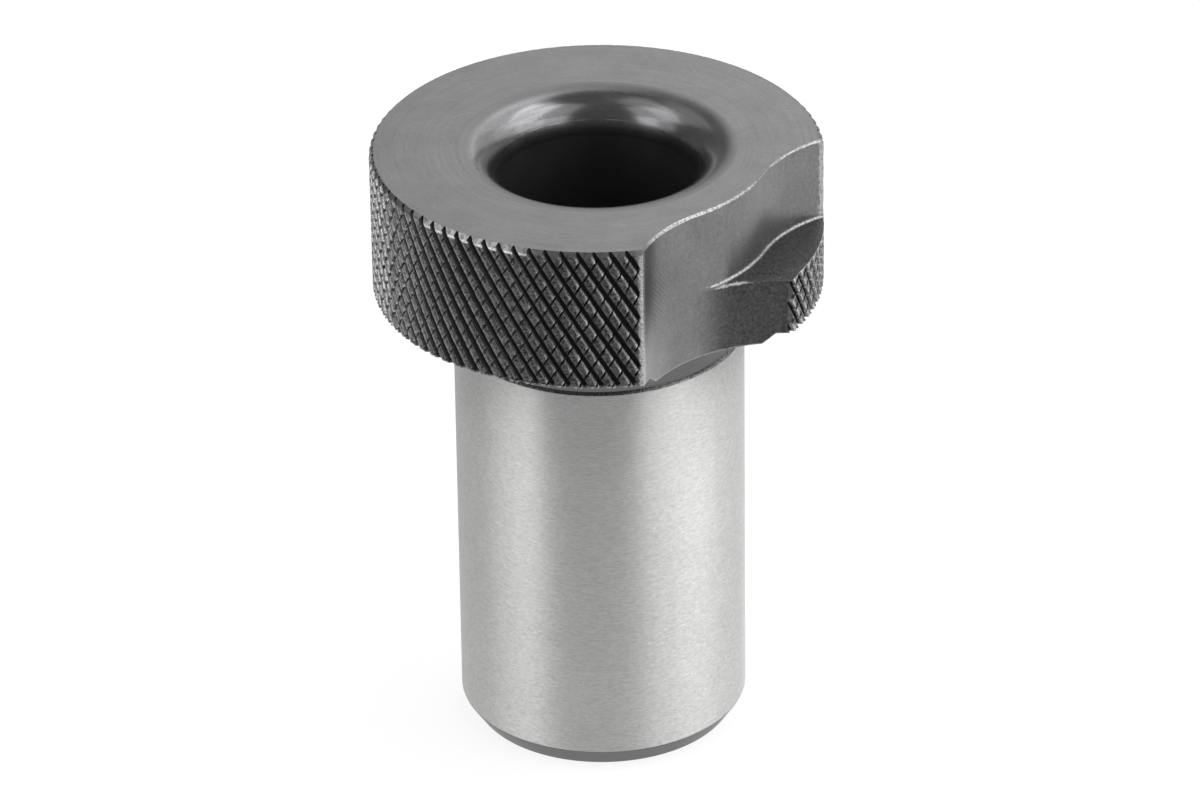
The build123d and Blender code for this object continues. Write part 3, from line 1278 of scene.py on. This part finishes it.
@dataclass
class DrillBush:
    """The whole bush: its turned section, its knurl and its recess."""

    knurl: Knurl
    recess: LockRecess
    bore_radius: float = 7.5
    shank_radius: float = 11.0
    shank_length: float = 36.0
    head_height: float = HEAD_HEIGHT
    head_radius: float = 17.0
    mouth_radius: float = 3.0
    lead_in_length: float = 1.5
    lead_in_depth: float = 1.0
    relief_length: float = 3.0
    relief_depth: float = 0.25
    top_edge: float = 0.35
    segments: int = 384
    mouth_steps: int = 22
    crease: float = 28.0
    # Rounding of the turned corners, and its shares at the bore, the lead-in, the relief
    # and the seat
    small_round: float = 0.12
    round_shares: tuple = (0.5, 0.4, 0.6, 0.3, 0.25)
    # Reach of the turned form past the knurl, and of the knurl below the shank
    rim_overrun: float = 0.5
    stem_overrun: float = 1.0
    # Sorting of faces: how near counts as on a surface, beside it and close to an edge
    touching: float = 0.02
    beside: float = 0.1
    at_edge: float = 0.4
    skin: float = 0.001
    rim_reach: float = 0.5
    # Sorting of faces: how far a direction may be off, how far up one looks where it is level
    # and how far where it is sloped
    straight: float = 0.02
    level: float = 0.9
    sloped: float = 0.6
    foot_reach: float = 0.31
    foot_slopes: tuple = (0.12, 0.999)
    break_slopes: tuple = (0.3, 0.95)
    groove_reach: float = 0.45
    # Wear, with painted highlight on the knurl: on the knurl from a radius outwards, on the
    # recess's edges and on the burrs
    knurl_inner: float = 16.6
    edge_wear: float = 0.7
    burr_wear: float = 0.55

    def _section(self) -> list[tuple[float, float]]:
        """Half section of the turned form as radius and height.

        Returns:
            The corners, from the bore's lower end.
        """
        soft, low = self.small_round, -self.shank_length
        half, less, more, thin, quarter = (soft * share for share in self.round_shares)
        shank, neck = self.shank_radius, self.shank_radius - self.relief_depth
        ground = -self.relief_length - self.relief_depth
        rim = self.head_radius + self.rim_overrun
        section = [
            (self.bore_radius + half, low),
            (shank - self.lead_in_depth, low),
            (shank - less, low + self.lead_in_length - more),
            (shank, low + self.lead_in_length + less),
            (shank, ground - thin),
            (shank - thin, ground + thin),
            (neck, -self.relief_length),
            (neck, -soft),
            (neck + soft, 0.0),
            (SEAT_RADIUS, 0.0),
            (SEAT_RADIUS + SEAT_STEP / SEAT_SLOPE, SEAT_STEP),
            (rim, SEAT_STEP + quarter),
            (rim, self.head_height - self.top_edge - self.rim_overrun),
            (self.head_radius - self.top_edge, self.head_height),
        ]
        for swing in np.radians(np.linspace(0.0, 90.0, self.mouth_steps + 1)):
            across = self.bore_radius + self.mouth_radius * (1.0 - math.sin(swing))
            down = self.head_height - self.mouth_radius * (1.0 - math.cos(swing))
            section.append((across, down))
        section.append((self.bore_radius, low + half))
        return section

    def _turned(self) -> Mesh:
        """The turned form, left wider than the knurl round the head."""
        ring = full_circle(self.segments)
        rings = [at_height(ring * radius, height) for radius, height in self._section()]
        return stacked(rings, closed=True)

    def _regions(self, centres: np.ndarray, normals: np.ndarray) -> np.ndarray:
        """Sorts faces into the bush's regions.

        Args:
            centres: Middle of each face.
            normals: Direction of each face.

        Returns:
            The position of each face's region in the list of regions.
        """
        order = list(Region)
        found = np.full(len(centres), order.index(Region.KNURL))
        radius, height, up = distance(centres), centres[:, 2], normals[:, 2]
        inside = self.recess.depth_in_plan(centres)
        to_pocket = distance(centres, self.recess.path_ends[0])
        ledge, top, relief = self.recess.ledge_height, self.head_height, -self.relief_length

        def put(region: Region, where: np.ndarray) -> None:
            """Gives some faces a region, in place of the one that they had."""
            found[where] = order.index(region)

        rim = radius > self.head_radius - self.top_edge - self.touching
        rim = rim & (height > top - self.rim_reach)
        put(Region.RIM, rim & (np.abs(up - math.sqrt(0.5)) < self.straight))
        put(Region.NECK, (height < SEAT_STEP + self.beside) & (up < -self.sloped))
        outside = radius > self.shank_radius - self.beside
        put(Region.SHANK, (height < relief - self.beside) & outside)
        put(Region.LEAD_IN, height < -self.shank_length + self.lead_in_length)
        milled = (inside > -self.touching / 2) & (height > 0.0) & (up > -self.sloped)
        milled = milled & (radius > self.recess.wall_radius - self.beside)
        outer = (radius > self.head_radius - self.groove_reach) & (height < ledge)
        outer = outer & (up < self.level) & (to_pocket > self.recess.cutter_radius + self.touching)
        put(Region.WALL, milled & ~outer)
        put(Region.LEDGE, milled & ~outer & (up > self.level))
        foot = milled & ~outer & (height > ledge) & (height < ledge + self.foot_reach)
        low, high = self.foot_slopes
        put(Region.EDGE, foot & (inside < self.foot_reach) & (up > low) & (up < high))
        low, high = self.break_slopes
        broken = (height > top - self.at_edge) & (up > low) & (up < high)
        put(Region.EDGE, broken & (inside > -self.at_edge) & (inside < self.touching))
        put(Region.FACE, height > top - self.skin)
        mouth = (radius < self.bore_radius + self.mouth_radius + self.touching) & (up > self.skin)
        put(Region.MOUTH, mouth & (height < top - self.skin) & (height > 0.0))
        bore = radius < self.bore_radius + self.touching
        above_foot = height > -self.shank_length + self.beside
        put(Region.BORE, bore & (up < self.straight) & above_foot)
        neck = self.shank_radius - self.relief_depth + 2 * self.beside
        put(Region.NECK, (height < 0.0) & (height > relief) & (radius < neck))
        put(Region.BORE, bore & (height < 0.0))
        return found

    def _dress(self, bush: bpy.types.Object) -> None:
        """Gives each region its finish and marks bare steel, on the knurl partly a painted
        highlight.

        Args:
            bush: The finished shape.
        """
        mesh = bush.data
        mesh.materials.clear()
        for region in Region:
            mesh.materials.append(region.value.material())
        centres = vectors(mesh.polygons, "center") / MILLIMETRE
        regions = self._regions(centres, vectors(mesh.polygons, "normal"))
        mesh.polygons.foreach_set("material_index", regions.astype(np.int32))
        mesh.polygons.foreach_set("use_smooth", np.ones(len(regions), dtype=bool))
        mesh.set_sharp_from_angle(angle=math.radians(self.crease))
        points = vectors(mesh.vertices, "co") / MILLIMETRE
        worn_and_highlit = self.knurl.wear_and_highlight(points) * (distance(points) > self.knurl_inner)
        edge = np.abs(self.recess.depth_in_plan(points)) < self.touching
        low = np.where(points[:, 0] < self.recess.path_ends[0][0], 0.0, self.recess.ledge_height)
        worn_and_highlit[edge & (points[:, 2] > low - self.touching / 2)] = self.edge_wear
        corner = self.recess.burred(points) * (points[:, 2] > 0.0)
        worn_and_highlit = np.maximum(worn_and_highlit, self.burr_wear * corner)
        mark = mesh.attributes.new(WEAR_AND_HIGHLIGHT_MARK, "FLOAT", "POINT")
        mark.data.foreach_set("value", worn_and_highlit.astype(np.float32))
        mesh.update()

    def build(self) -> bpy.types.Object:
        """Builds and dresses the bush.

        Returns:
            The finished object.
        """
        recess = self.recess
        sleeve = self.knurl.sleeve(-self.shank_length - self.stem_overrun, recess.burred)
        bush = sleeve.place("drill_bush")
        combine(bush, self._turned().place("turned"), "INTERSECT")
        combine(bush, recess.shelf().place("shelf"), "DIFFERENCE")
        combine(bush, recess.pocket().place("pocket"), "DIFFERENCE")
        ramp = recess.ramp().place("ramp")
        combine(ramp, recess.ramp_bounds().place("ramp_bounds"), "INTERSECT")
        combine(bush, ramp, "DIFFERENCE")
        self._dress(bush)
        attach(bush, BODY)
        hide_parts(NODE)
        log.info("bush: %d vertices, %d faces", len(bush.data.vertices), len(bush.data.polygons))
        return bush


# Studio


@dataclass(frozen=True)
class SoftLight:
    """A flat soft light that looks at the head of the bush; its sizes are in metres."""

    name: str
    azimuth: float
    elevation: float
    width: float
    height: float
    level: float
    distance: float = 0.8

    def build(self, target: Vector) -> bpy.types.Object:
        """Places the light.

        Args:
            target: The point that it faces.

        Returns:
            The light's object.
        """
        data = bpy.data.lights.new(self.name, "AREA")
        data.shape = "RECTANGLE"
        data.size, data.size_y = self.width, self.height
        data.energy = self.level * math.pi * self.width * self.height
        turn, lift = math.radians(self.azimuth), math.radians(self.elevation)
        flat = math.cos(lift)
        back = Vector((math.sin(turn) * flat, -math.cos(turn) * flat, math.sin(lift)))
        light = put_in_scene(self.name, data)
        light.location = target + back * self.distance
        light.rotation_euler = (-back).to_track_quat("-Z", "Y").to_euler()
        return light


@dataclass
class Studio:
    """Pale floor, soft lights, plain surroundings and the camera, all sized in metres."""

    floor_height: float = -0.036
    floor_centre: float = 0.45
    floor_reach: float = 1.8
    floor_bend: float = 0.28
    floor_segments: int = 96
    floor_steps: int = 9
    floor_tone: float = 0.88
    floor_lift: float = 0.86
    # Where the shadow's part of the floor has faded and where it starts to, in millimetres
    shadow_radii: tuple = (360.0, 90.0)
    surroundings: float = 0.35
    lens: float = 220.0
    sensor: float = 36.0
    camera_range: tuple = (0.01, 20.0)
    camera_place: tuple = (0.0, -0.4844, 0.2657)
    camera_pitch: float = -29.659
    camera_roll: float = -0.797
    lights: tuple = (
        SoftLight("right_a", 50.0, 50.0, 0.46, 0.5, 1.44),
        SoftLight("right_b", 90.0, 50.0, 0.46, 0.5, 4.21),
        SoftLight("right_c", 130.0, 50.0, 0.46, 0.5, 2.36),
        SoftLight("right_d", 166.0, 50.0, 0.4, 0.5, 2.65),
        SoftLight("low_a", 48.0, 24.0, 0.42, 0.28, 2.54),
        SoftLight("low_b", 78.0, 24.0, 0.42, 0.28, 3.35),
        SoftLight("low_c", 108.0, 24.0, 0.42, 0.28, 1.94),
        SoftLight("low_d", 140.0, 24.0, 0.46, 0.28, 1.31),
        SoftLight("low_e", 172.0, 24.0, 0.42, 0.28, 2.1),
        SoftLight("left_a", -58.0, 24.0, 0.3, 0.28, 3.58),
        SoftLight("left_b", -80.0, 24.0, 0.3, 0.28, 1.44),
        SoftLight("left_c", -60.0, 46.0, 0.32, 0.36, 1.64),
        SoftLight("left_d", -90.0, 46.0, 0.32, 0.36, 2.86),
        SoftLight("left_e", -128.0, 46.0, 0.5, 0.36, 0.82),
        SoftLight("left_g", -85.0, 68.0, 0.4, 0.25, 1.18),
    )

    def _floor(self) -> bpy.types.Object:
        """The floor, which turns up at its rim, keeps the shadow and looks white where lit.

        Returns:
            The floor's object.
        """
        ring = full_circle(self.floor_segments)
        rings = [at_height(ring * self.floor_centre, self.floor_height)]
        for swing in np.radians(np.linspace(0.0, 90.0, self.floor_steps)):
            reach = self.floor_reach + self.floor_bend * math.sin(swing)
            rise = self.floor_bend * (1.0 - math.cos(swing))
            rings.append(at_height(ring * reach, self.floor_height + rise))
        skin = stacked(rings, closed=False)
        floor = Mesh(skin.points, skin.faces[:-1]).place("floor", 1.0)
        floor.data.polygons.foreach_set("use_smooth", [True] * len(floor.data.polygons))
        tree = ShaderTree("floor_paint")
        lift = 1.0 - tree.radius().rise(*self.shadow_radii) * (1.0 - self.floor_lift)
        matt = tree.place("ShaderNodeBsdfDiffuse", None, {"Color": grey(self.floor_tone)})
        glow = tree.place("ShaderNodeEmission", None, {"Color": grey(1.0), "Strength": 1.0})
        factors = {0: self._seen(tree) * lift, 1: matt, 2: glow}
        mixed = tree.place("ShaderNodeMixShader", None, factors)
        tree.place("ShaderNodeOutputMaterial", None, {"Surface": mixed})
        tree.material.cycles.emission_sampling = "NONE"
        floor.data.materials.append(tree.material)
        return floor

    @staticmethod
    def _seen(tree: ShaderTree) -> Signal:
        """Finds how a surface is looked at.

        Args:
            tree: The material's nodes.

        Returns:
            1 where it is seen by the camera, in a reflection or through glass.
        """
        kinds = ("Is Camera Ray", "Is Glossy Ray", "Is Transmission Ray")
        camera, glossy, through = (
            tree.place("ShaderNodeLightPath", None, None, kind) for kind in kinds
        )
        return camera.highest(glossy).highest(through)

    def _surround(self) -> None:
        """Even light from all round, which fills the shadows."""
        world = bpy.data.worlds.new("surroundings")
        world.use_nodes = True
        background = world.node_tree.nodes["Background"]
        background.inputs["Color"].default_value = grey(1.0)
        background.inputs["Strength"].default_value = self.surroundings
        bpy.context.scene.world = world

    def _camera(self) -> bpy.types.Object:
        """The camera, at the photograph's angle and distance.

        Returns:
            The camera's object.
        """
        data = bpy.data.cameras.new("camera")
        data.lens, data.sensor_width = self.lens, self.sensor
        data.clip_start, data.clip_end = self.camera_range
        pitch, roll = math.radians(self.camera_pitch), math.radians(self.camera_roll)
        ahead = Vector((0.0, math.cos(pitch), math.sin(pitch)))
        level = Vector((1.0, 0.0, 0.0))
        above = level.cross(ahead)
        right = math.cos(roll) * level + math.sin(roll) * above
        upward = -math.sin(roll) * level + math.cos(roll) * above
        camera = put_in_scene("camera", data)
        turned = Matrix((right, upward, -ahead)).transposed().to_4x4()
        camera.matrix_world = Matrix.Translation(Vector(self.camera_place)) @ turned
        bpy.context.scene.camera = camera
        return camera

    def build(self) -> list[bpy.types.Object]:
        """Sets up the floor, the surroundings, the lights and the camera.

        Returns:
            The objects.
        """
        bpy.context.scene.view_settings.view_transform = "Standard"
        self._surround()
        target = Vector((0.0, 0.0, 0.0))
        return [self._floor(), *(light.build(target) for light in self.lights), self._camera()]


def main() -> None:
    """Builds the bush and the studio round it."""
    logging.basicConfig(level=logging.INFO, format="%(name)s: %(message)s")
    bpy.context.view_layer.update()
    for piece in (DrillBush(Knurl(), LockRecess()).build(), *Studio().build()):
        log.info("built %s", piece.name)


if __name__ == "__main__":
    main()
